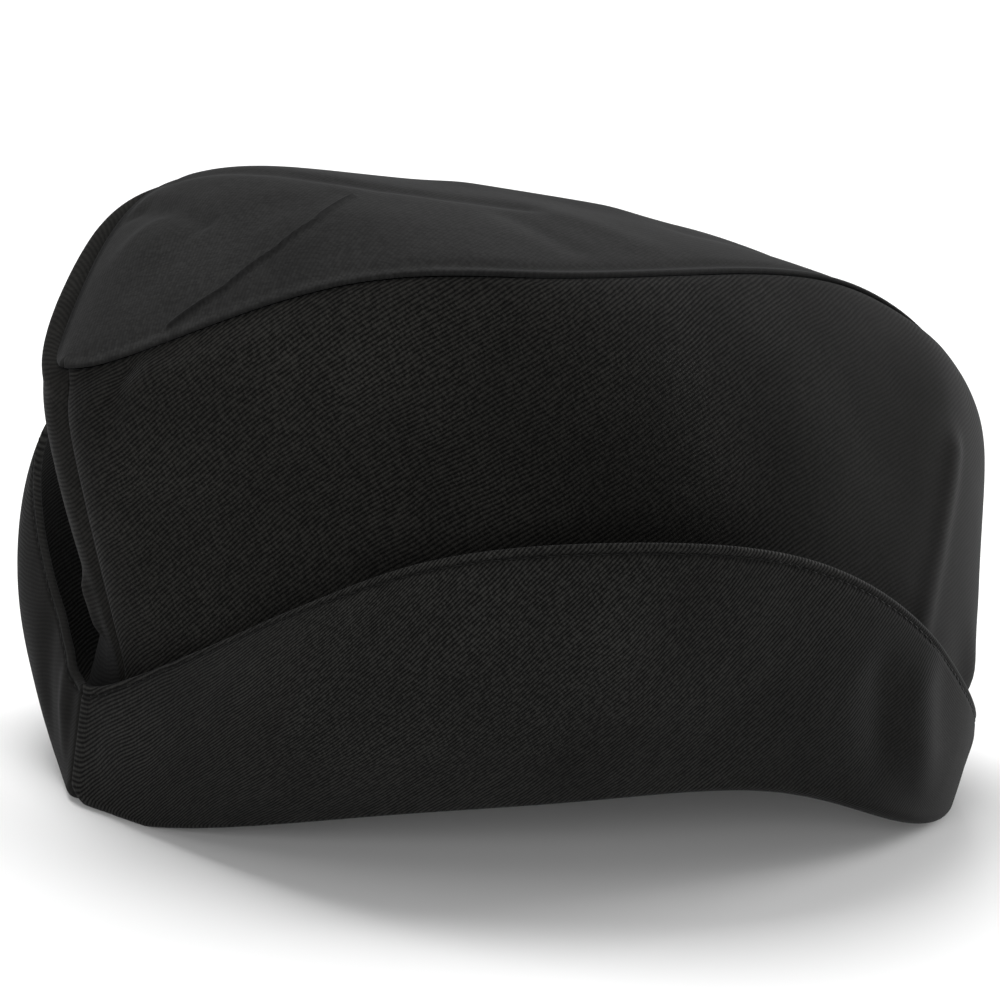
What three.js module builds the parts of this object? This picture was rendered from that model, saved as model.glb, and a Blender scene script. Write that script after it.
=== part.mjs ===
// A butcher cap of black cotton twill, cut like a side cap and opened as it is worn.
// Two side panels meet in a centre seam at the front and the back, a long top panel
// closes them, and a turn-up in two halves folds up round the outside from the rim.
// Millimetres. The cap stands on its rim with its front toward -X, the wearer's left
// toward -Y and +Z up; the origin is on the ground under the middle of its length.
import * as THREE from 'three';

// Cloth: one layer in the crown, two layers in the turn-up, and a gap where pieces meet
const CROWN_CLOTH = 1.2;
const TURN_UP_CLOTH = 1.8;
const GAP = 0.3;
const TOP_INSET = 0.4; // the top panel's border lies this far inside the seam line

// Half lengths and middles along X of the three curves that the cap is drawn through:
// the rim it stands on, the free edge of the turn-up, and the seam round the top panel
const RIM = { half_length: 104.5, middle: 1.6 };
const EDGE = { half_length: 104, middle: 1.6 };
const SEAM = { half_length: 109, middle: -3.4 };

// The rolled fold at the rim: its outer radius, and how far the fold reaches inward
const ROLL_RADIUS = 3;
const FOLD_DEPTH = 5.4;
const FOOT_INSET = 4; // from the outside of the rim to the outside of the crown

// One row for each section round the cap, from the front seam (0) to the back seam (180).
// half is the distance from the middle plane, z the height above the ground, and swell
// how far the turn-up bellies out between the rim and its edge. A rim below the ground
// is flattened on it.
const TURN_UP_SECTIONS = [
  { angle: 0, rim_half: 0, rim_z: 2.5, edge_half: 0, edge_z: 26, swell: 0 },
  { angle: 12, rim_half: 8, rim_z: -1.2, edge_half: 11, edge_z: 29, swell: 1 },
  { angle: 28, rim_half: 32, rim_z: 3, edge_half: 54, edge_z: 53.5, swell: 6 },
  { angle: 50, rim_half: 63, rim_z: 13.5, edge_half: 77.5, edge_z: 72, swell: 8.5 },
  { angle: 75, rim_half: 78, rim_z: 19, edge_half: 92.5, edge_z: 78, swell: 4.5 },
  { angle: 100, rim_half: 80.5, rim_z: 19.5, edge_half: 88, edge_z: 71, swell: 1.5 },
  { angle: 125, rim_half: 67, rim_z: 7, edge_half: 72.5, edge_z: 48.5, swell: 0.5 },
  { angle: 148, rim_half: 43, rim_z: 0, edge_half: 48, edge_z: 25.5, swell: 0.5 },
  { angle: 166, rim_half: 18.5, rim_z: -0.5, edge_half: 24.5, edge_z: 20, swell: 0 },
  { angle: 180, rim_half: 0, rim_z: -0.5, edge_half: 0, edge_z: 23.5, swell: 0 },
];

// The same sections at the top: the seam's half width and height, how far the right
// side's seam sags under the left one, and the rise of the top panel over its seams
const TOP_SECTIONS = [
  { angle: 0, half: 0, z: 93.5, right_sag: 0, dome: 1 },
  { angle: 12, half: 7.5, z: 95.5, right_sag: 1.5, dome: 2 },
  { angle: 28, half: 21, z: 104, right_sag: 1.5, dome: 5 },
  { angle: 50, half: 44, z: 120.5, right_sag: 1, dome: 8 },
  { angle: 75, half: 50.5, z: 123, right_sag: 2, dome: 7 },
  { angle: 100, half: 38.5, z: 120.5, right_sag: 2.5, dome: 4 },
  { angle: 125, half: 23.5, z: 114, right_sag: 2, dome: 0 },
  { angle: 148, half: 14.5, z: 98.5, right_sag: 1, dome: 0 },
  { angle: 166, half: 6.5, z: 84, right_sag: 0, dome: 1 },
  { angle: 180, half: 0, z: 74, right_sag: 0, dome: 1 },
];

// How far a side panel stands outside the straight line from its foot to its top seam.
// One row for each height, as a part of the panel's height, and one column for each angle.
const PANEL_ANGLES = { front: 0, nose: 14, temple: 40, side: 90, rear: 140, tail: 162, back: 180 };
const PANEL_BULGE = [
  { height: 0, front: 0, nose: 0, temple: 0, side: 0, rear: 0, tail: 0, back: 0 },
  { height: 0.26, front: -10, nose: -8, temple: -3.5, side: 1, rear: 7, tail: -1.5, back: -3 },
  { height: 0.36, front: -9, nose: -6, temple: -3.5, side: 1.5, rear: 8.5, tail: 5, back: 3 },
  { height: 0.51, front: -6.5, nose: -2, temple: -3, side: 2, rear: 9, tail: 8.5, back: 6.5 },
  { height: 0.75, front: -2, nose: 3, temple: 2, side: 4, rear: 9, tail: 9, back: 8 },
  { height: 0.91, front: 0, nose: 4.5, temple: 4.5, side: 4, rear: 6.5, tail: 7.5, back: 7 },
  { height: 0.98, front: -1, nose: 2.5, temple: 4, side: 3, rear: 3, tail: 4, back: 4 },
  { height: 1, front: 0, nose: 0, temple: 0, side: 0, rear: 0, tail: 0, back: 0 },
];
const DOME_POWER = 2.2; // higher is a flatter top with steeper borders

// How finely the faceted solids are cut
const ROUND_STEPS = 44;
const PANEL_STEPS = 10;
const WALL_STEPS = 6;
const ROLL_ANGLES = [0, 30, 60, 90];
const TOP_STEPS_ACROSS = 14;
const TOP_TIP_ANGLE = 2.5; // the top panel stops this far before the centre seams

const radians = THREE.MathUtils.degToRad;

// A natural cubic spline through the points (xs, ys), as a function of x
function spline(xs, ys) {
  const n = xs.length;
  const curvature = new Array(n).fill(0);
  const factor = new Array(n).fill(0);
  for (let i = 1; i < n - 1; i += 1) {
    const left = xs[i] - xs[i - 1];
    const right = xs[i + 1] - xs[i];
    const share = left / (left + right);
    const pivot = share * factor[i - 1] + 2;
    const bend = (ys[i + 1] - ys[i]) / right - (ys[i] - ys[i - 1]) / left;
    factor[i] = (share - 1) / pivot;
    curvature[i] = ((6 * bend) / (left + right) - share * curvature[i - 1]) / pivot;
  }
  for (let i = n - 2; i > 0; i -= 1) curvature[i] += factor[i] * curvature[i + 1];
  return (x) => {
    let i = 0;
    while (i < n - 2 && x > xs[i + 1]) i += 1;
    const h = xs[i + 1] - xs[i];
    const a = (xs[i + 1] - x) / h;
    const b = 1 - a;
    const bend = ((a ** 3 - a) * curvature[i] + (b ** 3 - b) * curvature[i + 1]) * (h * h) / 6;
    return a * ys[i] + b * ys[i + 1] + bend;
  };
}

// A named column of a table, as a function of the angle in radians
function column(table, name) {
  return spline(table.map((row) => radians(row.angle)), table.map((row) => row[name]));
}

const rimHalf = column(TURN_UP_SECTIONS, 'rim_half');
const rimHeight = column(TURN_UP_SECTIONS, 'rim_z');
const edgeHalf = column(TURN_UP_SECTIONS, 'edge_half');
const edgeHeight = column(TURN_UP_SECTIONS, 'edge_z');
const swell = column(TURN_UP_SECTIONS, 'swell');
const seamHalf = column(TOP_SECTIONS, 'half');
const seamHeight = column(TOP_SECTIONS, 'z');
const rightSag = column(TOP_SECTIONS, 'right_sag');
const dome = column(TOP_SECTIONS, 'dome');

function onCurve(curve, half, height, angle) {
  return new THREE.Vector3(curve.middle - curve.half_length * Math.cos(angle), half, height);
}

const rimPoint = (angle) => onCurve(RIM, rimHalf(angle), Math.max(rimHeight(angle), 0), angle);
const edgePoint = (angle) => onCurve(EDGE, edgeHalf(angle), edgeHeight(angle), angle);

// sag is 1 for the right side and 0 for the left, and between them across the top
const seamPoint = (angle, sag) =>
  onCurve(SEAM, seamHalf(angle), seamHeight(angle) - sag * rightSag(angle), angle);

// The level direction that points straight out of the cap at an angle
function outward(angle) {
  const widest = 80.5;
  const x = -Math.cos(angle) * widest;
  const y = Math.sin(angle) * RIM.half_length;
  return new THREE.Vector3(x, y, 0).normalize();
}

// A side panel's outer face. reach runs from 0 at the foot to 1 at the top seam, and
// slows down toward the seam, so that the panel rolls over into it.
const heightOf = (reach) => 1 - (1 - reach) ** 2;
const reachOf = (height) => 1 - Math.sqrt(1 - height);
const panelReaches = PANEL_BULGE.map((row) => reachOf(row.height));
const panelAngles = Object.values(PANEL_ANGLES).map(radians);
const bulgeRows = PANEL_BULGE.map((row) =>
  spline(panelAngles, Object.keys(PANEL_ANGLES).map((name) => row[name])));

function panelPoint(angle, reach, sag) {
  const height = heightOf(reach);
  const bulge = spline(panelReaches, bulgeRows.map((row) => row(angle)))(reach);
  const foot = rimPoint(angle).addScaledVector(outward(angle), -FOOT_INSET);
  foot.z += TURN_UP_CLOTH + GAP;
  foot.y = Math.max(foot.y, 0);
  return foot.lerp(seamPoint(angle, sag), height).addScaledVector(outward(angle), bulge);
}

// The top panel's outer face: across runs from -1 at the left seam to 1 at the right one
function topPoint(angle, across) {
  const sag = (across + 1) / 2;
  const point = seamPoint(angle, sag);
  const step = 0.002;
  const along = seamPoint(angle + step, 0).sub(seamPoint(angle - step, 0));
  const inward = new THREE.Vector3(along.y, -along.x, 0).normalize();
  point.x += inward.x * TOP_INSET;
  point.y = Math.max(point.y + inward.y * TOP_INSET, 0) * across;
  point.z += dome(angle) * (1 - Math.abs(across) ** DOME_POWER);
  return point;
}

// The unit normal of a surface given as a function of two values, inside their limits
function normalAt(surface, u, v, limits) {
  const step = 0.002;
  const u0 = Math.max(u - step, limits.u[0]);
  const u1 = Math.min(u + step, limits.u[1]);
  const v0 = Math.max(v - step, limits.v[0]);
  const v1 = Math.min(v + step, limits.v[1]);
  const alongU = surface(u1, v).sub(surface(u0, v));
  const alongV = surface(u, v1).sub(surface(u, v0));
  return alongU.cross(alongV).normalize();
}

// A closed body from a row of closed outlines that have the same number of points.
// Each outline runs along the outer face and back along the inner one, so that its
// first and last points face each other, and the ends are closed by strips.
function loftOutlines(outlines, name, finish) {
  const count = outlines[0].length;
  const positions = outlines.flat().flatMap((point) => point.toArray());
  const faces = [];
  const quad = (a, b, c, d) => faces.push(a, b, c, a, c, d);
  for (let i = 0; i < outlines.length - 1; i += 1) {
    for (let j = 0; j < count; j += 1) {
      const next = (j + 1) % count;
      quad(i * count + j, (i + 1) * count + j, (i + 1) * count + next, i * count + next);
    }
  }
  const last = (outlines.length - 1) * count;
  for (let j = 0; j < count / 2 - 1; j += 1) {
    const inner = count - 1 - j;
    quad(j, j + 1, inner - 1, inner);
    quad(last + j, last + inner, last + inner - 1, last + j + 1);
  }
  const geometry = new THREE.BufferGeometry();
  geometry.setAttribute('position', new THREE.Float32BufferAttribute(positions, 3));
  geometry.setIndex(volumeOf(positions, faces) < 0 ? faces.reverse() : faces);
  geometry.computeVertexNormals();
  const mesh = new THREE.Mesh(geometry, new THREE.MeshStandardMaterial(finish));
  mesh.name = name;
  return mesh;
}

function volumeOf(positions, faces) {
  const corner = (index) => new THREE.Vector3().fromArray(positions, index * 3);
  let volume = 0;
  for (let i = 0; i < faces.length; i += 3) {
    volume += corner(faces[i]).dot(corner(faces[i + 1]).cross(corner(faces[i + 2]))) / 6;
  }
  return volume;
}

const steps = (count) => Array.from({ length: count + 1 }, (_, i) => i / count);

// Moves a point of the right half clear of the middle plane, or mirrors it to the left
function toSide(point, side) {
  return new THREE.Vector3(point.x, side * (point.y + GAP / 2), point.z);
}

const topLimits = { u: [radians(TOP_TIP_ANGLE), Math.PI - radians(TOP_TIP_ANGLE)], v: [-1, 1] };

// Into the cloth at the top panel's border, as seen by a side panel drawn on the right
function intoBorder(angle, side) {
  const inside = THREE.MathUtils.clamp(angle, ...topLimits.u);
  const normal = normalAt(topPoint, inside, side, topLimits);
  return normal.set(-normal.x, -normal.y * side, -normal.z);
}

function makeSidePanel(name, side, finish) {
  const sag = side > 0 ? 1 : 0;
  const surface = (angle, reach) => panelPoint(angle, reach, sag);
  const limits = { u: [0, Math.PI], v: [0, 1] };
  const outlines = steps(ROUND_STEPS).map((part) => {
    const angle = part * Math.PI;
    const outer = steps(PANEL_STEPS).map((reach) => surface(angle, reach));
    const inner = steps(PANEL_STEPS).map((reach, i) => {
      let normal = normalAt(surface, angle, reach, limits);
      if (reach === 0) normal = outward(angle).negate();
      if (reach === 1) normal = intoBorder(angle, side);
      if (part === 0 || part === 1) normal.setY(0).normalize();
      return outer[i].clone().addScaledVector(normal, CROWN_CLOTH);
    });
    return [...outer, ...inner.reverse()].map((point) => toSide(point, side));
  });
  return loftOutlines(outlines, name, finish);
}

// The turn-up in section: a fold under the foot of the crown, a round roll, and a wall
// that leans out to its free edge
function turnUpOutline(angle) {
  const out = outward(angle);
  const rim = rimPoint(angle);
  const edge = edgePoint(angle);
  const at = (away, rise) => {
    const point = rim.clone().addScaledVector(out, away);
    point.z += rise;
    point.y = Math.max(point.y, 0);
    return point;
  };
  const outer = [at(-FOLD_DEPTH, 0)];
  const inner = [at(-FOLD_DEPTH, TURN_UP_CLOTH)];
  const innerRadius = ROLL_RADIUS - TURN_UP_CLOTH;
  for (const turn of ROLL_ANGLES.map(radians)) {
    const rollAt = (radius) =>
      at(radius * Math.sin(turn) - ROLL_RADIUS, ROLL_RADIUS - radius * Math.cos(turn));
    outer.push(rollAt(ROLL_RADIUS));
    inner.push(rollAt(innerRadius));
  }
  const start = at(0, ROLL_RADIUS);
  for (const part of steps(WALL_STEPS).slice(1)) {
    const point = start.clone().lerp(edge, part);
    point.addScaledVector(out, 4 * swell(angle) * part * (1 - part));
    outer.push(point);
    const back = point.clone().addScaledVector(out, -TURN_UP_CLOTH);
    back.y = Math.max(back.y, 0);
    inner.push(back);
  }
  return [...outer, ...inner.reverse()];
}

function makeTurnUp(name, side, finish) {
  const outlines = steps(ROUND_STEPS).map((part) =>
    turnUpOutline(part * Math.PI).map((point) => toSide(point, side)));
  return loftOutlines(outlines, name, finish);
}

function makeTopPanel(name, finish) {
  const outlines = steps(ROUND_STEPS).map((part) => {
    const angle = THREE.MathUtils.clamp(part * Math.PI, ...topLimits.u);
    const across = steps(TOP_STEPS_ACROSS).map((share) => 2 * share - 1);
    const outer = across.map((v) => topPoint(angle, v));
    const inner = across.map((v, i) =>
      outer[i].clone().addScaledVector(normalAt(topPoint, angle, v, topLimits), -CROWN_CLOTH));
    return [...outer, ...inner.reverse()];
  });
  return loftOutlines(outlines, name, finish);
}

// The twill is a soft black, a little lighter where it lies open to the light
const SIDE_FINISH = { color: 0x1b1b1a, roughness: 0.92, metalness: 0 };
const TURN_UP_FINISH = { color: 0x222221, roughness: 0.92, metalness: 0 };
const TOP_FINISH = { color: 0x262625, roughness: 0.92, metalness: 0 };

const LEFT = -1;
const RIGHT = 1;

const cap = new THREE.Group();
cap.add(makeSidePanel('side_panel_left', LEFT, SIDE_FINISH));
cap.add(makeSidePanel('side_panel_right', RIGHT, SIDE_FINISH));
cap.add(makeTopPanel('top_panel', TOP_FINISH));
cap.add(makeTurnUp('turn_up_left', LEFT, TURN_UP_FINISH));
cap.add(makeTurnUp('turn_up_right', RIGHT, TURN_UP_FINISH));

export default cap;
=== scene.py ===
"""A butcher cap of black cotton twill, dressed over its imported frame.

Two side panels, a long top panel and the two halves of a turn-up are each a closed piece
of cloth with a rounded rim, so that a groove is left wherever two of them are sewn together.
Shapes are worked out in millimetres and turned into metres when a mesh is made. The
front of the cap is toward -X, the wearer's left toward -Y, and the ground is z = 0.
"""

import bpy
import numpy as np
from mathutils import Matrix


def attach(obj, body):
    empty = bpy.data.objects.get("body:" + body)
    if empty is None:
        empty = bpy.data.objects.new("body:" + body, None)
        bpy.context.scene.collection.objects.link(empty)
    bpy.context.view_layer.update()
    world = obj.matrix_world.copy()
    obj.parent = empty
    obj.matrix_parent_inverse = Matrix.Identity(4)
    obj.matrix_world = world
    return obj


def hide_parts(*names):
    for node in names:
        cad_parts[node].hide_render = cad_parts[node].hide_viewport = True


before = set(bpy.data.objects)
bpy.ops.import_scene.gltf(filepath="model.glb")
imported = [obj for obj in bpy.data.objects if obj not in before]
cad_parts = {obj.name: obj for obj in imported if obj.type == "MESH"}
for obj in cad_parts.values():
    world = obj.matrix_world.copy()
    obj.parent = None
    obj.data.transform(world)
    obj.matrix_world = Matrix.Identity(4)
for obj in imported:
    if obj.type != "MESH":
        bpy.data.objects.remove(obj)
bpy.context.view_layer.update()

MM = 0.001
UV_SPAN = 400.0  # millimetres of cloth to one unit of the UV map
SLOPE_STEP = 0.002  # radians to each side of an angle, for a slope round the cap
LEFT = -1
RIGHT = 1

# Cloth: one layer in the crown and two in the turn-up
CROWN_CLOTH = 1.2
TURN_UP_CLOTH = 1.8
SEAM_LAP = 0.15  # centre seams and the top panel's rim pass the seam line, to keep light out
SLACK_DEPTH = 0.16  # the height of one wave in cloth that hangs free

# The crown's foot stands inside the rim, on the fold of the turn-up
FOOT_LIFT = 2.1
FOOT_INSET = 4.0  # from the outside of the rim to the outside of the crown
ROLL_RADIUS = 3.0  # of the turn-up's outside, where it rolls up at the rim
FOLD_DEPTH = 5.4  # from the outside of the rim to the end of the fold under the foot
DOME_POWER = 2.2  # the higher it is, the flatter the middle of the top panel
TOP_TIP = np.radians(1.0)  # the top panel stops this far before the centre seams
WIDEST = 80.5  # the rim's greatest half width

# The weave is flattened toward the back, and the cloth there is darkened as painted shade: from
# this x, over this length, to this part
PRESSED_AND_SHADED_FROM = 5.0
PRESSED_AND_SHADED_OVER = 65.0
PRESSED_AND_SHADED_MOST = 0.7

# The topstitching along the turn-up's free edge
STITCH_FROM_EDGE = 2.1
STITCH_PITCH = 2.7
STITCH_LENGTH = 2.15
STITCH_MARGIN = 3.0  # no stitch starts nearer than this to a centre seam
STITCH_SINK = 0.12  # from the face of the cloth down to the foot of a stitch's arch
STITCH_ARCH = 0.22  # the height of that arch
THREAD = 0.19  # the thread's radius at the middle of a stitch

# The twill
RIB_SPACING = 0.87  # across its diagonal ribs
RIB_ANGLE = np.radians(27.5)  # from the warp to the ribs
FLOAT_SPACING = 0.43  # along a rib, from one of its floats to the next

# The tilt of the warp, in degrees. It is even on the top panel. On the turn-up it is given
# at angles round the cap, which come first
TOP_TILT = 10.5
LEFT_TURN_UP_TILT = ([0, 12, 28, 50, 90, 130, 180], [3, 6, 11, 15, 20, 21, 21])
RIGHT_TURN_UP_TILT = ([0, 180], [-21, -21])

# Colours of the cloth and the thread, in linear light
SIDE_COLOUR = (0.0064, 0.0062, 0.0056)
# Painted light: the top panel is the same black twill, set about twice as light as the sides
# because more light falls on it from above
TOP_COLOUR = (0.0122, 0.0122, 0.0120)
# Painted light: the turn-up is the same twill, set a little lighter than the sides because it
# catches more light
TURN_UP_COLOUR = (0.0069, 0.0068, 0.0063)
THREAD_COLOUR = (0.0035, 0.0035, 0.0033)

# Half length and middle along X of the rim, the turn-up's free edge and the top seam
RIM = (104.5, 1.6)
EDGE = (104.0, 1.6)
SEAM = (109.0, -3.4)

# Round the cap from the front seam (0) to the back seam (180): the rim's half width and
# height, the free edge's half width and height, and how far the wall bellies out
TURN_UP_SECTIONS = np.array([
    [0, 0, 2.5, 0, 26, 0],
    [12, 8, -1.2, 11, 29, 1],
    [28, 32, 3, 54, 53.5, 6],
    [50, 63, 13.5, 77.5, 72, 8.5],
    [75, 78, 19, 92.5, 78, 4.5],
    [100, 80.5, 19.5, 88, 71, 1.5],
    [125, 67, 7, 72.5, 48.5, 0.5],
    [148, 43, 0, 48, 25.5, 0.5],
    [166, 18.5, -0.5, 24.5, 20, 0],
    [180, 0, -0.5, 0, 23.5, 0],
])

# The same angles at the top seam: its half width and height, how far the right side's
# seam sags under the left one, and how far the top panel rises over its seams
TOP_SECTIONS = np.array([
    [0, 0, 93.5, 0, 1],
    [12, 7.5, 95.5, 1.5, 2],
    [28, 21, 104, 1.5, 5],
    [50, 44, 120.5, 1, 8],
    [75, 50.5, 123, 2, 7],
    [100, 38.5, 120.5, 2.5, 4],
    [125, 23.5, 114, 2, 0],
    [148, 14.5, 98.5, 1, 0],
    [166, 6.5, 84, 0, 1],
    [180, 0, 74, 0, 1],
])

# How far a side panel stands outside the straight line from foot to seam. One row for
# each part of the panel's height, given first, and one column for each angle
BULGE_ANGLES = [0, 14, 40, 90, 140, 162, 180]
BULGE_ROWS = np.array([
    [0, 0, 0, 0, 0, 0, 0, 0],
    [0.26, -10, -8, -3.5, 1, 7, -1.5, -3],
    [0.36, -9, -6, -3.5, 1.5, 8.5, 5, 3],
    [0.51, -6.5, -2, -3, 2, 9, 8.5, 6.5],
    [0.75, -2, 3, 2, 4, 9, 9, 8],
    [0.91, 0, 4.5, 4.5, 4, 6.5, 7.5, 7],
    [0.98, -1, 2.5, 4, 3, 3, 4, 4],
    [1, 0, 0, 0, 0, 0, 0, 0],
])

# Folds in the cloth: the points of a line, how wide the fold is, how far it lifts the
# cloth (below 0 it sinks), and how sharp its back is (2 is round and 1 is a crease).
# On a side panel or turn-up a point is (length along the cloth, height above ground)
LEFT_SIDE_FOLDS = [
    ([(18, 97), (15, 84)], 3.0, -1.0, 2),
    ([(25, 98), (22, 86)], 3.5, 0.5, 2),
    ([(227, 90), (222, 76), (215, 66), (207, 54)], 15.0, 1.5, 1.7),
    ([(227, 79), (223, 71), (217, 60), (207, 46)], 3.7, 1.0, 2),
    ([(240, 30), (256, 27)], 8.5, 3.8, 2),
    ([(30, 60), (80, 76)], 12.0, -1.0, 2),
    ([(60, 96), (130, 104)], 14.0, 0.5, 2),
]
RIGHT_SIDE_FOLDS = [
    ([(10, 44), (13, 36)], 2.6, 1.6, 2),
    ([(238, 80), (226, 62), (214, 50)], 5.0, 1.2, 2),
    ([(222, 82), (210, 62)], 6.0, -1.1, 2),
    ([(40, 66), (95, 78)], 12.0, -0.9, 2),
    ([(120, 100), (180, 96)], 12.0, 0.5, 2),
]
LEFT_TURN_UP_FOLDS = [
    ([(190, 60), (196, 20)], 22.0, 1.5, 2),
    ([(212, 44), (219, 22)], 6.0, -1.0, 2),
    ([(230, 38), (240, 14)], 8.0, 1.7, 2),
    ([(284, 16), (289, 6)], 4.0, 0.6, 2),
    ([(14, 24), (20, 12)], 7.0, 0.5, 2),
    ([(60, 44), (95, 52)], 14.0, 0.5, 2),
]
RIGHT_TURN_UP_FOLDS = [
    ([(9, 24), (8, 10)], 4.0, 1.2, 2),
    ([(24, 30), (22, 12)], 6.0, -0.9, 2),
    ([(226, 40), (234, 18)], 6.0, -1.0, 2),
    ([(252, 32), (262, 12)], 5.0, 0.9, 2),
]
# On the top panel a point is (x, y). A sharp crease runs in from its left seam
TOP_CREASE = [(-99, -19), (-90, -24), (-80, -25), (-70, -22), (-56, -11)]
TOP_FOLDS = [
    (TOP_CREASE, 0.6, -0.8, 2),
    ([(-97, -17), (-89, -21), (-80, -22), (-71, -19), (-58, -9)], 3.0, 0.35, 2),
    ([(-88, -12), (-70, -10)], 7.0, 0.8, 2),
    ([(-82, 31), (-83, 14), (-84, 0)], 3.0, 1.3, 2),
    ([(-90, 12), (-91, 6)], 6.0, -1.5, 2),
    ([(-70, 38), (-63, 20), (-55, 6), (-46, -3), (-33, -7), (-14, -8)], 4.0, 0.8, 2),
    ([(-23, -20), (-18, -36)], 5.0, 0.5, 2),
    ([(-5, -14), (4, -30)], 7.0, -0.5, 2),
    ([(30, -6), (60, -2)], 6.0, 0.6, 2),
    ([(-10, 20), (20, 16)], 9.0, -0.9, 2),
]


def natural_spline(knots, values):
    """The natural cubic spline through values at knots, as a function of whole arrays.

    Between two knots it is the straight line between their values, bent by the second
    derivatives there, which one linear system gives for all knots at once.
    """
    knots = np.asarray(knots, float)
    values = np.asarray(values, float)
    count = len(knots)
    gaps = np.diff(knots)
    slopes = np.diff(values, axis=0) / gaps[:, None]
    system = np.eye(count)
    inner = np.arange(1, count - 1)
    system[inner, inner - 1] = gaps[:-1]
    system[inner, inner] = 2 * (gaps[:-1] + gaps[1:])
    system[inner, inner + 1] = gaps[1:]
    wanted = np.zeros_like(values)
    wanted[1:-1] = 6 * np.diff(slopes, axis=0)
    bends = np.linalg.solve(system, wanted)

    def at(x):
        x = np.asarray(x, float)
        span = np.clip(np.searchsorted(knots, x) - 1, 0, count - 2)
        width = gaps[span][..., None]
        after = (x[..., None] - knots[span][..., None]) / width
        before = 1 - after
        line = before * values[span] + after * values[span + 1]
        curve = (before**3 - before) * bends[span] + (after**3 - after) * bends[span + 1]
        return line + curve * width**2 / 6

    return at


# Each table as a spline in the angle, and the bulge rows' shares as a spline in reach
turn_up_at = natural_spline(np.radians(TURN_UP_SECTIONS[:, 0]), TURN_UP_SECTIONS[:, 1:])
top_at = natural_spline(np.radians(TOP_SECTIONS[:, 0]), TOP_SECTIONS[:, 1:])
bulge_at = natural_spline(np.radians(BULGE_ANGLES), BULGE_ROWS[:, 1:].T)
bulge_shares = natural_spline(1 - np.sqrt(1 - BULGE_ROWS[:, 0]), np.eye(len(BULGE_ROWS)))


def unit(vectors):
    """Each vector divided by its length."""
    return vectors / np.maximum(np.linalg.norm(vectors, axis=-1, keepdims=True), 1e-12)


def outward(angle):
    """The level direction straight out of the cap, which is an ellipse's normal.

    It is (-greatest half width * cos angle, half length * sin angle, 0), divided by its
    length.
    """
    level = np.stack([-np.cos(angle) * WIDEST, np.sin(angle) * RIM[0], 0 * angle], -1)
    return unit(level)


def on_curve(curve, half, height, angle):
    """The point (middle - half length * cos angle, half width, height)."""
    return np.stack([curve[1] - curve[0] * np.cos(angle), half, height], -1)


def rim_at(angle):
    """The outline that the cap stands on, no lower than the ground."""
    row = turn_up_at(angle)
    return on_curve(RIM, row[..., 0], np.maximum(row[..., 1], 0), angle)


def edge_at(angle):
    """The outside of the turn-up's free edge."""
    row = turn_up_at(angle)
    return on_curve(EDGE, row[..., 2], row[..., 3], angle)


def seam_at(angle, sag):
    """The seam between a side panel and the top panel, lowered by sag times its sag."""
    row = top_at(angle)
    return on_curve(SEAM, row[..., 0], row[..., 1] - sag * row[..., 2], angle)


def side_surface(angle, reach, sag, tight):
    """A side panel's outer face, as a grid of angle by reach.

    The height share is 1 - (1 - reach) ** 2. A point is the mix of foot and seam by that
    share, moved straight outward by the bulge, a spline in reach of the bulge rows. Near
    the seam the bulge shrinks by tight * exp(-((1 - share) / 0.045) ** 2).
    """
    share = (1 - (1 - reach) ** 2)[None, :, None]
    out = outward(angle)
    foot = rim_at(angle) - FOOT_INSET * out
    foot[:, 2] += FOOT_LIFT
    foot[:, 1] = np.maximum(foot[:, 1], 0)
    bulge = bulge_at(angle) @ bulge_shares(reach).T
    bulge *= 1 - tight[:, None] * np.exp(-(((1 - share[..., 0]) / 0.045) ** 2))
    straight = foot[:, None] * (1 - share) + seam_at(angle, sag)[:, None] * share
    return straight + out[:, None] * bulge[..., None]


def top_surface(angle, across):
    """The top panel's outer face, as a grid of angle by across, from -1 to 1.

    The rim is the seam line moved outward in plan by the seam's lap. Between the rims y
    grows evenly. There z sinks toward the right by sag * (across + 1) / 2, and rises by
    dome * (1 - |across| ** dome power).
    """
    along = seam_at(angle + SLOPE_STEP, 0) - seam_at(angle - SLOPE_STEP, 0)
    inward = unit(np.stack([along[:, 1], -along[:, 0], 0 * angle], -1))
    row = top_at(angle)
    x = SEAM[1] - SEAM[0] * np.cos(angle) - inward[:, 0] * SEAM_LAP
    half = np.maximum(row[:, 0] - inward[:, 1] * SEAM_LAP, 0)
    sag = row[:, 2:3] * (across + 1)[None] / 2
    rise = row[:, 3:4] * (1 - np.abs(across) ** DOME_POWER)[None]
    z = row[:, 1:2] - sag + rise
    return np.stack([x[:, None] + 0 * z, half[:, None] * across[None], z], -1)


def top_rim_normal(angle, side):
    """The top panel's upward normal at its rim, from its slopes along and across it."""
    angle = np.clip(angle, TOP_TIP, np.pi - TOP_TIP)
    across = np.array([0.985, 1.0]) * side
    ahead = top_surface(angle + SLOPE_STEP, across) - top_surface(angle - SLOPE_STEP, across)
    aside = np.diff(top_surface(angle, across), axis=1)[:, 0]
    return unit(np.cross(ahead[:, 1], aside) * side)


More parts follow.
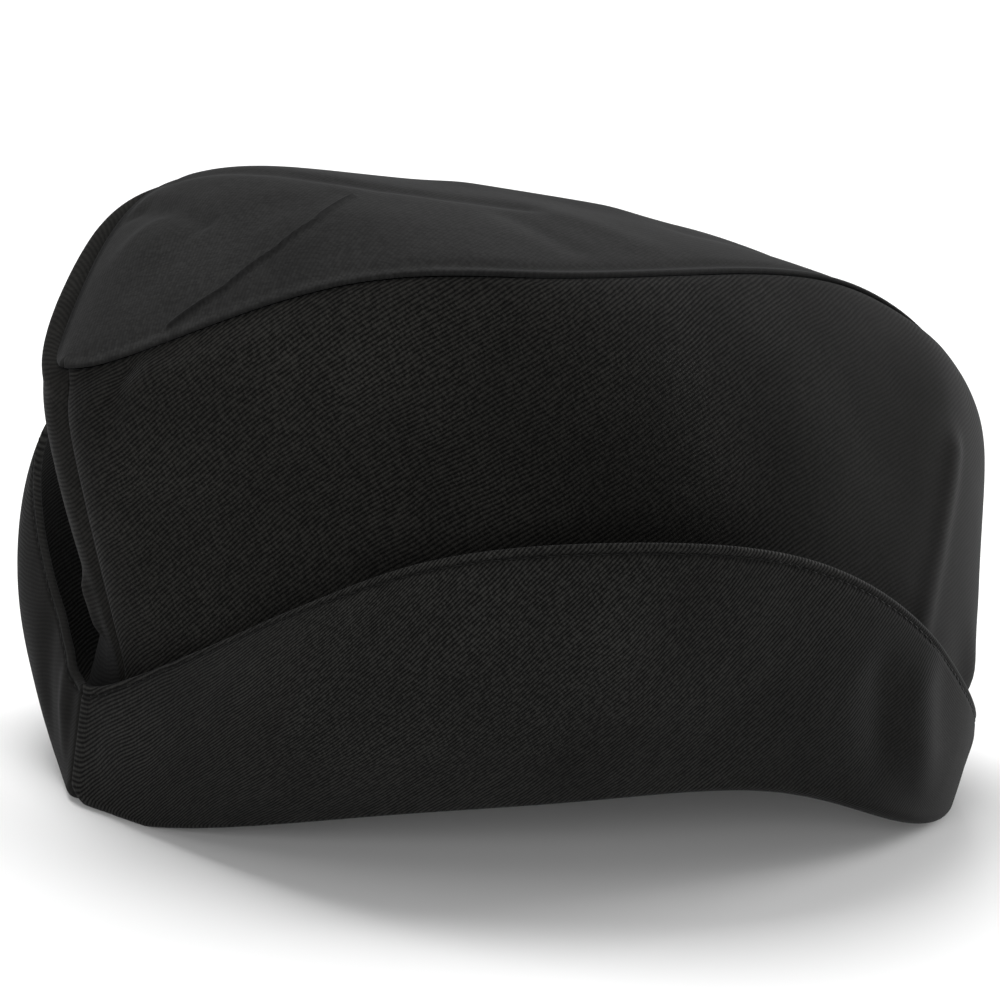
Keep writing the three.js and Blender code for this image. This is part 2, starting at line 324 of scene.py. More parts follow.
def turn_up_surface(angle, floor, turns, shares):
    """The middle of the turn-up's two layers, as a grid of angle by the way up it.

    The way runs along the fold under the crown's foot (floor, from 0 to 1), round an arc
    (turns, from 0 to 1) until it leans like the wall, and up the wall (shares, from 0 to
    1), which is a straight line to the free edge plus 4 * swell * share * (1 - share).
    """
    out = outward(angle)[:, None]
    rim = rim_at(angle)[:, None]
    edge = edge_at(angle)[:, None]
    swell = 4 * turn_up_at(angle)[:, 4][:, None, None]
    half = TURN_UP_CLOTH / 2
    radius = ROLL_RADIUS - half
    climb = edge - rim + swell * out
    lean = np.arctan2((climb * out).sum(-1), climb[..., 2] - ROLL_RADIUS)
    turned = turns * (np.pi / 2 - lean)
    flat = -FOLD_DEPTH + (FOLD_DEPTH - ROLL_RADIUS) * floor + 0 * lean
    away = np.concatenate([flat, radius * np.sin(turned) - ROLL_RADIUS], axis=1)
    rise = np.concatenate([half + 0 * flat, ROLL_RADIUS - radius * np.cos(turned)], axis=1)
    fold = rim + out * away[..., None]
    fold[..., 2] += rise
    start = rim + out * (radius * np.cos(lean) - ROLL_RADIUS)[..., None]
    start[..., 2] += ROLL_RADIUS - radius * np.sin(lean)
    share = shares[None, :, None]
    wall = start * (1 - share) + (edge - out * half) * share + swell * share * (1 - share) * out
    middle = np.concatenate([fold, wall], axis=1)
    middle[..., 1] = np.maximum(middle[..., 1], 0)
    return middle


def normals(grid):
    """The unit normal of a grid of points, from its slopes along both directions."""
    return unit(np.cross(np.gradient(grid, axis=0), np.gradient(grid, axis=1)))


def lengths(grid, axis):
    """The length of cloth from the grid's first line to each point, along an axis."""
    pieces = np.linalg.norm(np.diff(grid, axis=axis), axis=-1)
    start = np.zeros_like(np.take(pieces, [0], axis=axis))
    return np.concatenate([start, np.cumsum(pieces, axis=axis)], axis=axis)


def fold_relief(first, second, folds):
    """How far the folds lift the cloth at (first, second), summed over the folds.

    A fold lifts it by lift * exp(-(distance / width) ** sharpness), where distance is to
    the nearest point of the fold's line.
    """
    total = np.zeros_like(first)
    for path, width, lift, sharpness in folds:
        nearest = np.full_like(first, np.inf)
        for (a0, b0), (a1, b1) in zip(path[:-1], path[1:]):
            run = (a1 - a0) ** 2 + (b1 - b0) ** 2
            share = ((first - a0) * (a1 - a0) + (second - b0) * (b1 - b0)) / run
            share = np.clip(share, 0, 1)
            distance = np.hypot(first - a0 - share * (a1 - a0), second - b0 - share * (b1 - b0))
            nearest = np.minimum(nearest, distance)
        total += lift * np.exp(-((nearest / width) ** sharpness))
    return total


def slack(first, second, phase):
    """The unevenness of cloth that hangs free, at most 0.34 mm.

    It is the slack depth times a sum: the product of two sine waves, one along each
    direction, and two slanting sine waves of 0.7 and 0.4 of its height.
    """
    waves = np.sin(first / 17 + phase) * np.sin(second / 13 + 2 * phase)
    waves += 0.7 * np.sin(first / 9.5 - second / 21 + 3 * phase)
    waves += 0.4 * np.sin(first / 6.1 + second / 8.3 + 5 * phase)
    return SLACK_DEPTH * waves


def rim_distance(grid, sides):
    """The length of cloth from each point to the nearest of the named sides."""
    nearest = np.full(grid.shape[:2], np.inf)
    across = lengths(grid, 0)
    up = lengths(grid, 1)
    if "start" in sides:
        nearest = np.minimum(nearest, across)
    if "end" in sides:
        nearest = np.minimum(nearest, across[-1:] - across)
    if "bottom" in sides:
        nearest = np.minimum(nearest, up)
    if "top" in sides:
        nearest = np.minimum(nearest, up[:, -1:] - up)
    return nearest


def half_thickness(distance, cloth):
    """Half the cloth's thickness: a half circle over the rim, and flat inside it."""
    radius = cloth / 2
    inside = np.minimum(distance, radius)
    return np.sqrt(np.maximum(radius**2 - (radius - inside) ** 2, 0))


def near_ends(first, last, count, steps):
    """Values from first to last that lie closer together at both ends.

    The steps are distances from an end. From the last step at one end to the last step at
    the other run count even values.
    """
    steps = np.asarray(steps)
    middle = np.linspace(first + steps[-1], last - steps[-1], count)
    return np.concatenate([first + steps[:-1], middle, (last - steps[:-1])[::-1]])


def pressed_and_shaded_at(grid):
    """How far the weave is flattened and the cloth darkened as painted shade: 0 at the front,
    and evenly more along x.
    """
    return PRESSED_AND_SHADED_MOST * np.clip((grid[..., 0] - PRESSED_AND_SHADED_FROM) / PRESSED_AND_SHADED_OVER, 0, 1)


def make_cloth(name, middle, half, uv, painted_light, pressed_and_shaded, node, slot):
    """A closed piece of cloth from the grid of its middle layer.

    The outer face is middle + normal * half and the inner one middle - normal * half.
    Both share the points of the rim, where half is 0.
    """
    out = normals(middle)
    outer = middle + out * half[..., None]
    inner = middle - out * half[..., None]
    rows, columns = middle.shape[:2]
    front = np.arange(rows * columns).reshape(rows, columns)
    back = front.copy()
    inside = (rows - 2) * (columns - 2)
    back[1:-1, 1:-1] = rows * columns + np.arange(inside).reshape(rows - 2, columns - 2)
    points = np.concatenate([outer.reshape(-1, 3), inner[1:-1, 1:-1].reshape(-1, 3)])
    points[:, 2] = np.maximum(points[:, 2], 0)
    faces = np.concatenate([
        np.stack([g[:-1, :-1], g[1:, :-1], g[1:, 1:], g[:-1, 1:]], -1).reshape(-1, 4)[:, order]
        for g, order in ((front, [0, 1, 2, 3]), (back, [3, 2, 1, 0]))
    ])
    uv_points = np.concatenate([uv.reshape(-1, 2), uv[1:-1, 1:-1].reshape(-1, 2)]) / UV_SPAN
    piece = make_mesh(name, points, faces)
    layer = piece.data.uv_layers.new(name="cloth")
    layer.data.foreach_set("uv", uv_points[faces.ravel()].astype(np.float32).ravel())
    # Per point: the painted light (painted shade and painted highlights), and the pressing with
    # its painted shade
    for key, values in (("painted_light", painted_light), ("pressed_and_shaded", pressed_and_shaded)):
        values = np.concatenate([values.ravel(), values[1:-1, 1:-1].ravel()])
        attribute = piece.data.attributes.new(key, "FLOAT", "POINT")
        attribute.data.foreach_set("value", values.astype(np.float32))
    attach(piece, "root")
    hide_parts(node)
    return piece


def make_mesh(name, points, faces):
    """A smooth mesh object at the origin from points in millimetres and square faces."""
    mesh = bpy.data.meshes.new(name)
    mesh.vertices.add(len(points))
    mesh.vertices.foreach_set("co", (points * MM).astype(np.float32).ravel())
    mesh.loops.add(faces.size)
    mesh.loops.foreach_set("vertex_index", faces.astype(np.int32).ravel())
    mesh.polygons.add(len(faces))
    mesh.polygons.foreach_set("loop_start", np.arange(0, faces.size, 4, dtype=np.int32))
    mesh.update(calc_edges=True)
    mesh.shade_smooth()
    piece = bpy.data.objects.new(name, mesh)
    bpy.context.scene.collection.objects.link(piece)
    return piece


def to_side(grid, side):
    """The grid on the given side, its y less by the seam lap, so that the halves cross."""
    moved = grid.copy()
    moved[..., 1] = side * (np.maximum(grid[..., 1], 0) - SEAM_LAP)
    return moved


def facing(grid, side):
    """The grid with its first direction turned round where its normals would face in."""
    return grid[::-1] if side == RIGHT else grid


def grain(along, up, tilt):
    """Places along and across the warp, for cloth whose warp is tilted by tilt degrees.

    The warp is the running sum of cos(tilt) * step, plus up * sin(tilt). The weft is
    up * cos(tilt), less the running sum of sin(tilt) * step.
    """
    tilt = np.radians(tilt)
    steps = np.diff(along, prepend=along[:1])
    warp = np.cumsum(np.cos(tilt) * steps)[:, None] + up * np.sin(tilt)[:, None]
    weft = -np.cumsum(np.sin(tilt) * steps)[:, None] + up * np.cos(tilt)[:, None]
    return np.stack([warp, weft], -1)


def make_side_panel(name, side, folds):
    """One side panel: its surface, moved along its normal by a relief.

    The relief is the folds, the slack above z = 30, both less toward the seams, and a
    puff along each seam, height * exp(-(((distance - place) / width) ** 2)). The right
    panel has a high roll of the same form at the front of its top seam. The normal loses
    its sideways part at the centre seams, and turns into the top panel's at the top seam.
    Painted light is below 0, painted shade, in the seams at the rim and along the right
    panel's top seam, and above 0, a painted highlight, on the right panel's roll.
    """
    tips = np.radians([0, 0.07, 0.22, 0.5, 0.9, 1.5])
    angle = near_ends(0, np.pi, 270, tips)
    reach = near_ends(0, 1, 84, [0, 0.002, 0.007, 0.016, 0.03, 0.05])
    if side == RIGHT:
        sag = 1
        tight = 0 * angle
    else:
        sag = 0
        tight = 0.65 * np.exp(-((angle / np.radians(95)) ** 4))
    outer = to_side(side_surface(angle, reach, sag, tight), side)
    out = normals(outer) * -side
    along = lengths(outer, 0)
    middle_row = along[:, len(reach) // 3]
    up = lengths(outer, 1)
    first = middle_row[:, None] + 0 * up
    top_seam = rim_distance(outer, ("top",))
    centre_seam = rim_distance(outer, ("start", "end"))
    seam = np.minimum(top_seam, centre_seam)
    at_centre = np.exp(-((centre_seam / 1.5) ** 2))[..., None]
    out = unit(out * (1 - at_centre * np.array([0, 1, 0])))
    at_top = np.exp(-((top_seam / 1.5) ** 2))[..., None]
    out = unit(out * (1 - at_top) + top_rim_normal(angle, side)[:, None] * at_top)
    relief = fold_relief(first, outer[..., 2], folds) * np.clip(seam / 4, 0, 1)
    free = np.clip((outer[..., 2] - 30) / 40, 0, 1) * np.clip(seam / 8, 0, 1)
    relief += slack(first, outer[..., 2], 1.0 + side) * free
    relief += 0.10 * np.exp(-(((top_seam - 2.4) / 1.5) ** 2))
    relief += 0.05 * np.exp(-(((centre_seam - 1.8) / 1.2) ** 2))
    if side == RIGHT:
        front_part = np.exp(-(((first - 35) / 35) ** 4))
        relief += 1.8 * front_part * np.exp(-(((top_seam - 4) / 2.9) ** 2))
    middle = outer + out * (relief - CROWN_CLOTH / 2)[..., None]
    middle[..., 1] = side * np.maximum(side * middle[..., 1], -SEAM_LAP)
    rim = rim_distance(outer, ("start", "end", "top", "bottom"))
    half = half_thickness(rim, CROWN_CLOTH)
    uv = np.stack([-side * first, up - up[:, -1:] * 0.5], -1)
    # Painted shade in the seams at the rim. On the right panel it is darker along the top seam,
    # with a painted highlight on its roll
    painted_light = -0.6 * np.exp(-((rim / 0.6) ** 2))
    if side == RIGHT:
        painted_light -= 0.9 * np.exp(-((top_seam / 0.9) ** 4))
        painted_light += 0.45 * np.exp(-(((top_seam - 4.5) / 3.2) ** 4) - (first / 90) ** 4)
    # Flattened weave and painted shade: darker toward the back, and on the right panel along its
    # top seam and at its front
    pressed_and_shaded = pressed_and_shaded_at(outer)
    if side == RIGHT:
        pressed_and_shaded = np.maximum(pressed_and_shaded, 0.6 * np.exp(-((top_seam / 9) ** 2)))
        pressed_and_shaded = np.maximum(pressed_and_shaded, 0.35 * np.exp(-((first / 50) ** 4)))
    parts = [facing(part, side) for part in (middle, half, uv, painted_light, pressed_and_shaded)]
    node = "side_panel_" + name.rsplit("_", 1)[1]
    return make_cloth(name, *parts, node, "black_twill_side")


def make_top_panel():
    """The top panel: its surface, moved along its normal by a relief.

    The relief is the folds and the slack, both less toward the seams, and a puff along
    them, height * exp(-(((distance - 2.6) / 1.7) ** 2)), which is higher over the middle
    of the length. Its angles lie closer together toward the front. Painted light is below
    0, painted shade, at the rim, in the crease and along the front of the right seam, and
    above 0, a painted highlight, on the rolled edge at the front.
    """
    ends = np.radians([0, 0.05, 0.15, 0.3, 0.6, 1.0])
    even = near_ends(0, 1, 310, ends / np.pi)
    angle = TOP_TIP + (np.pi - 2 * TOP_TIP) * (0.55 * even + 0.45 * even**2)
    across = near_ends(-1, 1, 130, [0, 0.001, 0.004, 0.01, 0.02, 0.035])
    outer = top_surface(angle, across)
    out = -normals(outer)
    sides = rim_distance(outer, ("top", "bottom"))
    relief = fold_relief(outer[..., 0], outer[..., 1], TOP_FOLDS)
    relief += slack(outer[..., 0], outer[..., 1], 2.4)
    relief *= np.clip(sides / 5, 0, 1)
    long_part = np.exp(-(((outer[..., 0] + 8) / 62) ** 4))
    relief += (0.12 + 0.5 * long_part) * np.exp(-(((sides - 2.6) / 1.7) ** 2))
    middle = outer + out * (relief - CROWN_CLOTH / 2)[..., None]
    rim = rim_distance(outer, ("start", "end", "top", "bottom"))
    half = half_thickness(rim, CROWN_CLOTH)
    spine = lengths(outer, 0)[:, len(across) // 2]
    uv = grain(spine, outer[..., 1], TOP_TILT + 0 * spine)
    # Painted shade in the seams at the rim and in the crease
    painted_light = -0.5 * np.exp(-((rim / 0.5) ** 2))
    painted_light -= 0.8 * fold_relief(outer[..., 0], outer[..., 1], [(TOP_CREASE, 0.55, 1, 2)])
    # A painted highlight on the rolled edge at the front
    rolled = np.clip((-35 - outer[..., 0]) / 20, 0, 1) * np.exp(-(((sides - 1.8) / 1.1) ** 2))
    painted_light += 0.3 * rolled
    # Painted shade along the front of the right seam
    far = np.clip(outer[..., 1] / 10, 0, 1) * np.clip((-20 - outer[..., 0]) / 20, 0, 1)
    painted_light -= far * np.exp(-(((rim - 1.4) / 1.1) ** 2))
    # The weave is flattened, and the cloth is darker toward the back as painted shade
    parts = [part[::-1] for part in (middle, half, uv, painted_light, pressed_and_shaded_at(outer))]
    return make_cloth("top_cloth", *parts, "top_panel", "black_twill_top")


def make_turn_up(name, side, folds, tilt):
    """One half of the turn-up, its surface moved along its normal by a lift, and its stitches.

    The lift is the folds and the slack, both less toward the rim and the centre seams,
    and a puff along these. In the channel under the stitches half the thickness is less
    by (0.22 + 0.1 * pull) * exp(-((distance / 0.55) ** 2)), where pull is a cosine wave
    with one period to each stitch. Painted light is above 0, lighter: at the rim and the
    free edge as painted highlights, and at the back where more light falls. It is below 0,
    painted shade, in the channel. Tilt is the warp's.
    """
    tips = np.radians([0, 0.05, 0.18, 0.4, 0.8, 1.4])
    angle = near_ends(0, np.pi, 280, tips)
    floor = np.array([0, 0.02, 0.08, 0.2, 0.6])
    turns = np.arange(0, 1, 0.1)
    shares = np.concatenate([np.linspace(0, 0.9, 50), 1 - np.geomspace(0.09, 0.0008, 22), [1]])
    surface = to_side(turn_up_surface(angle, floor, turns, shares), side)
    out = normals(surface) * -side
    along = lengths(surface, 0)
    half_way = len(floor) + len(turns) + len(shares) // 2
    first = along[:, half_way][:, None] + 0 * along
    up = lengths(surface, 1)
    edge = up[:, -1:] - up
    seam = rim_distance(surface, ("start", "end"))
    lift = fold_relief(first, surface[..., 2], folds)
    lift += slack(first, surface[..., 2], 3.1 + side)
    lift *= np.clip((up - 9) / 12, 0, 1) * np.clip(seam / 6, 0.15, 1)
    lift += 0.05 * np.exp(-(((seam - 2.4) / 1.6) ** 2))
    middle = surface + out * lift[..., None]
    middle[..., 1] = side * np.maximum(side * middle[..., 1], -SEAM_LAP)
    rim = rim_distance(surface, ("start", "end", "top", "bottom"))
    half = half_thickness(rim, TURN_UP_CLOTH)
    pull = 0.5 + 0.5 * np.cos(2 * np.pi * along[:, -1:] / STITCH_PITCH)
    half -= (0.22 + 0.1 * pull) * np.exp(-(((edge - STITCH_FROM_EDGE) / 0.55) ** 2))
    half[[0, -1]] = 0
    warp_tilt = np.interp(np.degrees(angle), *tilt)
    uv = grain(-side * first[:, 0], up, warp_tilt)
    # Painted highlights along the rim and the free edge
    painted_light = np.maximum(0.3 * np.exp(-rim / 0.8), 0.3 * np.exp(-((edge / 1.5) ** 4)))
    # Painted shade in the channel under the stitches
    painted_light -= 0.75 * np.exp(-(((edge - STITCH_FROM_EDGE) / 0.5) ** 2))
    # Painted light on the back, where more light falls
    painted_light += 0.3 * np.clip((surface[..., 0] - 66) / 16, 0, 1)
    # Flattened weave and painted shade: darker toward the back, and at the right half's front
    pressed_and_shaded = pressed_and_shaded_at(surface)
    if side == RIGHT:
        pressed_and_shaded = np.maximum(pressed_and_shaded, 0.75 * np.exp(-((first / 60) ** 4)))
    parts = [facing(part, side) for part in (middle, half, uv, painted_light, pressed_and_shaded)]
    which = name.rsplit("_", 1)[1]
    piece = make_cloth(name, *parts, "turn_up_" + which, "black_twill_turn_up")
    stitches = make_stitches("topstitch_" + which, middle, out, edge, half)
    return piece, stitches


def make_stitches(name, middle, out, edge, half):
    """The row of stitches along the free edge, on both faces of the turn-up.

    Each stitch is a tube along the channel, with position from -1 to 1 on it. Its
    thickness and its rise over the cloth follow sqrt(1 - (0.98 * position) ** 2), so that
    its ends go into the cloth.
    """
    rows = np.arange(len(edge))
    column = np.argmin(np.abs(edge - STITCH_FROM_EDGE), axis=1)
    line = middle[rows, column]
    normal = out[rows, column]
    depth = half[rows, column]
    run = np.concatenate([[0], np.cumsum(np.linalg.norm(np.diff(line, axis=0), axis=1))])
    starts = np.arange(STITCH_MARGIN, run[-1] - STITCH_MARGIN, STITCH_PITCH)
    position = np.linspace(-1, 1, 7)
    length = starts[:, None] + STITCH_LENGTH / 2 * (position + 1)[None]
    arch = np.sqrt(1 - (0.98 * position) ** 2)
    turn = np.linspace(0, 2 * np.pi, 6, endpoint=False)

    def on_line(values):
        return np.stack([np.interp(length, run, values[:, k]) for k in range(3)], -1)

    centre = on_line(line)
    up = unit(on_line(normal))
    ahead = unit(np.gradient(centre, axis=1))
    aside = np.cross(ahead, up)
    tubes = []
    for face in (1, -1):
        arched = np.interp(length, run, depth) - STITCH_SINK + STITCH_ARCH * arch[None]
        rise = face * arched
        axis = centre + up * rise[..., None]
        ring = aside[:, :, None] * np.cos(turn)[:, None] + up[:, :, None] * np.sin(turn)[:, None]
        tubes.append(axis[:, :, None] + ring * (THREAD * arch)[None, :, None, None])
    tubes = np.concatenate(tubes)
    count, long, round_it = tubes.shape[:3]
    index = np.arange(tubes.size // 3).reshape(count, long, round_it)
    beside = np.roll(index, -1, axis=2)
    walls = np.stack([index[:, :-1], beside[:, :-1], beside[:, 1:], index[:, 1:]], -1)
    caps = [
        index[:, 0][:, [3, 2, 1, 0]],
        index[:, 0][:, [5, 4, 3, 0]],
        index[:, -1][:, [0, 1, 2, 3]],
        index[:, -1][:, [0, 3, 4, 5]],
    ]
    faces = np.concatenate([walls.reshape(-1, 4), *caps])
    piece = make_mesh(name, tubes.reshape(-1, 3), faces)
    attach(piece, "root")
    return piece


class Nodes:
    """Adds nodes to a tree and links them, so that a material reads as a list of steps."""

    def __init__(self, tree):
        self.tree = tree

    def add(self, kind, settings=(), **inputs):
        """A node with its settings, and its inputs set or linked by name or number."""
        node = self.tree.nodes.new(kind)
        for key, value in dict(settings).items():
            setattr(node, key, value)
        for key, value in inputs.items():
            self.put(node.inputs[int(key[1:]) if key[1:].isdigit() else key], value)
        return node

    def put(self, socket, value):
        """Links an output to the socket, or sets a plain value on it."""
        if isinstance(value, bpy.types.NodeSocket):
            self.tree.links.new(value, socket)
        else:
            socket.default_value = value

    def maths(self, operation, *values, clamp=False):
        """The result of one Math node."""
        node = self.add("ShaderNodeMath", {"operation": operation, "use_clamp": clamp})
        for socket, value in zip(node.inputs, values):
            self.put(socket, value)
        return node.outputs[0]

    def scaled(self, vector, factor):
        """A vector or colour times a factor."""
        node = self.add("ShaderNodeVectorMath", {"operation": "SCALE"}, _0=vector, Scale=factor)
        return node.outputs[0]

    def finished(self, colour, rough, bump):
        """A Principled shader on the material's output, with these three inputs linked."""
        shader = self.add("ShaderNodeBsdfPrincipled")
        self.put(shader.inputs["Base Color"], colour)
        self.put(shader.inputs["Roughness"], rough)
        self.put(shader.inputs["Normal"], bump.outputs[0])
        self.add("ShaderNodeOutputMaterial", Surface=shader.outputs[0])
        return shader


def twill_group():
    """The weave as a shader node group.

    Ribs are a cosine across the diagonal, made uneven by a slow wander of the cloth and a
    small quick one. A rib is a row of short floats: a rounded wave along it, shifted from
    rib to rib, and a lightness of its own for each float. Lint is the peaks of a fine
    noise. Fade is a wide, slow noise round 1, less 0.5 * pressing, and that part is
    painted shade. Tone is (1 + contrast * (1 - pressing)) * fade, at least 0.12. Height is
    the ribs and floats, times 1 - pressing. The last output is the piece's painted light:
    painted shade and painted highlights.
    """
    group = bpy.data.node_groups.new("twill weave", "ShaderNodeTree")
    face = group.interface
    for name, value in (("Rib Depth", 1.0), ("Contrast", 1.0), ("Grain", 1.0)):
        socket = face.new_socket(name, in_out="INPUT", socket_type="NodeSocketFloat")
        socket.default_value = value
    for name in ("Tone", "Height", "Painted Light"):
        face.new_socket(name, in_out="OUTPUT", socket_type="NodeSocketFloat")
    n = Nodes(group)
    given = n.add("NodeGroupInput")
    uv = n.add("ShaderNodeUVMap", {"uv_map": "cloth"}).outputs[0]
    place = n.scaled(uv, UV_SPAN)

    def noise(scale, detail):
        settings = {"noise_dimensions": "2D"}
        node = n.add("ShaderNodeTexNoise", settings, Vector=place, Scale=scale, Detail=detail)
        return node.outputs[0]

    split = n.add("ShaderNodeSeparateXYZ", _0=place)
    warp, weft = split.outputs[0], split.outputs[1]
    cosine, sine = np.cos(RIB_ANGLE), np.sin(RIB_ANGLE)
    across = n.maths("MULTIPLY", weft, float(cosine / RIB_SPACING))
    across = n.maths("MULTIPLY_ADD", warp, float(-sine / RIB_SPACING), across)
    across = n.maths("MULTIPLY_ADD", noise(0.07, 1.0), 1.5, across)
    across = n.maths("MULTIPLY_ADD", noise(0.8, 1.0), 0.08, across)
    wave = n.maths("COSINE", n.maths("MULTIPLY", across, 2 * np.pi))
    ribs = n.maths("MULTIPLY_ADD", wave, 0.5, 0.5)
    rib = n.maths("ROUND", across)
    along = n.maths("MULTIPLY", warp, float(cosine / FLOAT_SPACING))
    along = n.maths("MULTIPLY_ADD", weft, float(sine / FLOAT_SPACING), along)
    along = n.maths("MULTIPLY_ADD", rib, 0.37, along)
    beads = n.maths("ABSOLUTE", n.maths("SINE", n.maths("MULTIPLY", along, np.pi)))
    cell = n.add("ShaderNodeCombineXYZ", _0=rib, _1=n.maths("FLOOR", along)).outputs[0]
    chance = n.add("ShaderNodeTexWhiteNoise", {"noise_dimensions": "2D"}, Vector=cell).outputs[0]
    uneven = n.maths("SUBTRACT", chance, 0.5)
    pressed_and_shaded = n.add("ShaderNodeAttribute", {"attribute_name": "pressed_and_shaded"}).outputs["Fac"]
    raised = n.maths("MULTIPLY", ribs, n.maths("MULTIPLY_ADD", beads, 0.22, 0.78))
    height = n.maths("MULTIPLY", raised, given.outputs["Rib Depth"])
    height = n.maths("MULTIPLY_ADD", uneven, 0.15, height)
    height = n.maths("MULTIPLY", height, n.maths("SUBTRACT", 1.0, pressed_and_shaded))
    spots = n.maths("MULTIPLY", n.maths("SUBTRACT", noise(1.7, 2.0), 0.62), 5.0, clamp=True)
    contrast = n.maths("MULTIPLY", n.maths("SUBTRACT", raised, 0.46), 1.9)
    contrast = n.maths("MULTIPLY", contrast, given.outputs["Contrast"])
    grain = n.maths("MULTIPLY_ADD", uneven, 0.9, n.maths("MULTIPLY", spots, 0.7))
    contrast = n.maths("MULTIPLY_ADD", grain, given.outputs["Grain"], contrast)
    tone = n.maths("MULTIPLY_ADD", contrast, n.maths("SUBTRACT", 1.0, pressed_and_shaded), 1.0)
    slow = n.maths("MULTIPLY_ADD", n.maths("SUBTRACT", noise(0.035, 3.0), 0.5), 0.7, 1.0)
    # Painted shade: darker where the cloth is pressed
    slow = n.maths("MULTIPLY_ADD", pressed_and_shaded, -0.5, slow)
    tone = n.maths("MULTIPLY", tone, slow)
    tone = n.maths("MAXIMUM", tone, 0.12)
    # The piece's painted light: painted shade and painted highlights
    rim = n.add("ShaderNodeAttribute", {"attribute_name": "painted_light"}).outputs["Fac"]
    done = n.add("NodeGroupOutput")
    for name, value in (("Tone", tone), ("Height", height), ("Painted Light", rim)):
        n.put(done.inputs[name], value)
    return group


weave = twill_group()


def empty_material(name):
    """A new material without nodes, and what adds nodes to it."""
    material = bpy.data.materials.new(name)
    material.use_nodes = True
    material.node_tree.nodes.clear()
    return material, Nodes(material.node_tree)


def twill_material(name, colour, rib_depth, contrast, grain):
    """Black twill: colour * tone * (1 + 0.9 * painted light), with the last factor at least 0.1.
    """
    material, n = empty_material(name)
    cloth = n.add("ShaderNodeGroup", {"node_tree": weave})
    cloth.inputs["Rib Depth"].default_value = rib_depth
    cloth.inputs["Contrast"].default_value = contrast
    cloth.inputs["Grain"].default_value = grain
    # Painted shade and painted highlights scale the colour
    painted_light_factor = n.maths("MULTIPLY_ADD", cloth.outputs["Painted Light"], 0.9, 1.0)
    tone = n.maths("MULTIPLY", cloth.outputs["Tone"], n.maths("MAXIMUM", painted_light_factor, 0.1))
    shade = n.scaled(colour, tone)
    rough = n.maths("MULTIPLY_ADD", cloth.outputs["Tone"], -0.06, 0.88)
    height = cloth.outputs["Height"]
    bump = n.add("ShaderNodeBump", Strength=0.85, Distance=0.16 * MM, Height=height)
    shader = n.finished(shade, rough, bump)
    shader.inputs["Specular IOR Level"].default_value = 0.07
    shader.inputs["Sheen Weight"].default_value = 0.02
    shader.inputs["Sheen Roughness"].default_value = 0.35
    shader.inputs["Sheen Tint"].default_value = (0.95, 0.96, 1.0, 1)
    return material


def thread_material():
    """Black sewing thread, glossier than the cloth: colour * (0.6 + 0.9 * a fine noise)."""
    material, n = empty_material("black sewing thread")
    place = n.add("ShaderNodeTexCoord").outputs["Object"]
    twist = n.add("ShaderNodeTexNoise", Vector=place, Scale=2600.0, Detail=1.0).outputs[0]
    tone = n.maths("MULTIPLY_ADD", twist, 0.9, 0.6)
    bump = n.add("ShaderNodeBump", Strength=0.6, Distance=0.06 * MM, Height=twist)
    shader = n.finished(n.scaled(THREAD_COLOUR, tone), 0.6, bump)
    shader.inputs["Specular IOR Level"].default_value = 0.08
    return material


side_twill = twill_material(
    "black twill of the side panels", SIDE_COLOUR, rib_depth=1.0, contrast=0.9, grain=0.95
)
# A lighter copy of the same twill, painted light
top_twill = twill_material(
    "black twill of the top panel", TOP_COLOUR, rib_depth=0.16, contrast=0.14, grain=0.5
)
turn_up_twill = twill_material(
    "black twill of the turn-up", TURN_UP_COLOUR, rib_depth=1.0, contrast=1.05, grain=1.0
)
thread = thread_material()

side_left = make_side_panel("side_cloth_left", LEFT, LEFT_SIDE_FOLDS)
side_right = make_side_panel("side_cloth_right", RIGHT, RIGHT_SIDE_FOLDS)
top_cloth = make_top_panel()
turn_up_left, stitches_left = make_turn_up(
    "turn_up_cloth_left", LEFT, LEFT_TURN_UP_FOLDS, LEFT_TURN_UP_TILT
)
turn_up_right, stitches_right = make_turn_up(
    "turn_up_cloth_right", RIGHT, RIGHT_TURN_UP_FOLDS, RIGHT_TURN_UP_TILT
)

for piece, material in (
    (side_left, side_twill),
    (side_right, side_twill),
    (top_cloth, top_twill),
    (turn_up_left, turn_up_twill),
    (turn_up_right, turn_up_twill),
    (stitches_left, thread),
    (stitches_right, thread),
):
    piece.data.materials.append(material)


def make_floor():
    """A plain pale floor, three metres each way from the cap."""
    mesh = bpy.data.meshes.new("floor")
    reach = 3.0
    corners = [(-reach, -reach, 0), (reach, -reach, 0), (reach, reach, 0), (-reach, reach, 0)]
    mesh.from_pydata(corners, [], [(0, 1, 2, 3)])
    floor = bpy.data.objects.new("floor", mesh)
    bpy.context.scene.collection.objects.link(floor)
    material = bpy.data.materials.new("pale floor")
    material.use_nodes = True
    shader = material.node_tree.nodes["Principled BSDF"]
    shader.inputs["Base Color"].default_value = (0.9, 0.9, 0.9, 1)
    shader.inputs["Roughness"].default_value = 0.9
    shader.inputs["Specular IOR Level"].default_value = 0.1
    mesh.materials.append(material)


def make_light(name, place, target, size, power):
    """A square area light at a place, turned toward a target."""
    data = bpy.data.lights.new(name, "AREA")
    data.shape = "SQUARE"
    data.size = size
    data.energy = power
    lamp = bpy.data.objects.new(name, data)
    bpy.context.scene.collection.objects.link(lamp)
    lamp.matrix_world = looking(np.array(place), np.array(target), 0.0)


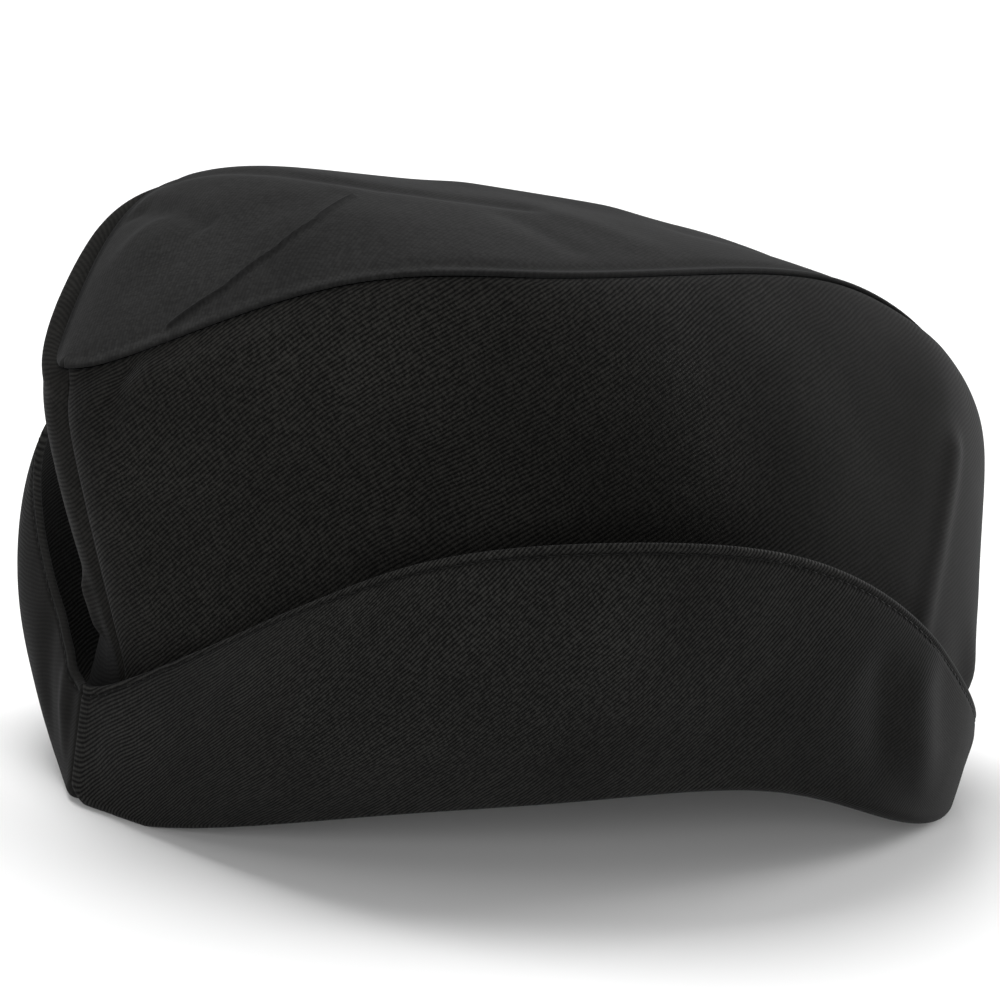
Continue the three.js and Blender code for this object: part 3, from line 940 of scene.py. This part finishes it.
def looking(place, target, roll):
    """The matrix of something at place that looks at target, rolled by roll radians."""
    back = unit(place - target)
    right = unit(np.cross([0, 0, 1], back))
    up = np.cross(back, right)
    across = right * np.cos(roll) + up * np.sin(roll)
    upward = up * np.cos(roll) - right * np.sin(roll)
    matrix = np.eye(4)
    matrix[:3, :3] = np.stack([across, upward, back], -1)
    matrix[:3, 3] = place
    return Matrix(matrix.tolist())


# The camera looks at the cap's left side from a little toward its front, and is rolled
CAMERA_TARGET = np.array([-0.0065, 0, 0.0625])
CAMERA_AZIMUTH = np.radians(30.9)
CAMERA_ELEVATION = np.radians(13.4)
CAMERA_ROLL = np.radians(6.06)
CAMERA_DISTANCE = 1.4
CAMERA_LENS = 235.9
CAMERA_SENSOR = 36


def make_camera():
    """The camera, at its distance from the target in the photograph's direction."""
    level = np.cos(CAMERA_ELEVATION)
    toward = np.array([
        -np.sin(CAMERA_AZIMUTH) * level,
        -np.cos(CAMERA_AZIMUTH) * level,
        np.sin(CAMERA_ELEVATION),
    ])
    data = bpy.data.cameras.new("camera")
    data.lens = CAMERA_LENS
    data.sensor_width = CAMERA_SENSOR
    camera = bpy.data.objects.new("camera", data)
    bpy.context.scene.collection.objects.link(camera)
    place = CAMERA_TARGET + toward * CAMERA_DISTANCE
    camera.matrix_world = looking(place, CAMERA_TARGET, CAMERA_ROLL)
    bpy.context.scene.camera = camera


def make_sky(strength):
    """An even white surround of the given strength."""
    world = bpy.data.worlds.new("studio")
    world.use_nodes = True
    sky = world.node_tree.nodes["Background"]
    sky.inputs["Color"].default_value = (1, 1, 1, 1)
    sky.inputs["Strength"].default_value = strength
    bpy.context.scene.world = world


CAP_MIDDLE = (0, 0, 0.06)
BEHIND_MIDDLE = (0.02, 0, 0.06)

make_floor()
make_camera()
make_sky(0.34)
make_light("top softbox", (-0.1, 0.6, 1.5), CAP_MIDDLE, size=1.1, power=24)
make_light("key softbox", (-1.7, -1.8, 0.5), CAP_MIDDLE, size=1.1, power=44)
make_light("low fill", (-0.9, -2.0, 0.25), CAP_MIDDLE, size=0.45, power=8)
make_light("back softbox", (1.55, 0.25, 0.35), BEHIND_MIDDLE, size=0.7, power=21.5)
bpy.context.scene.view_settings.view_transform = "Standard"
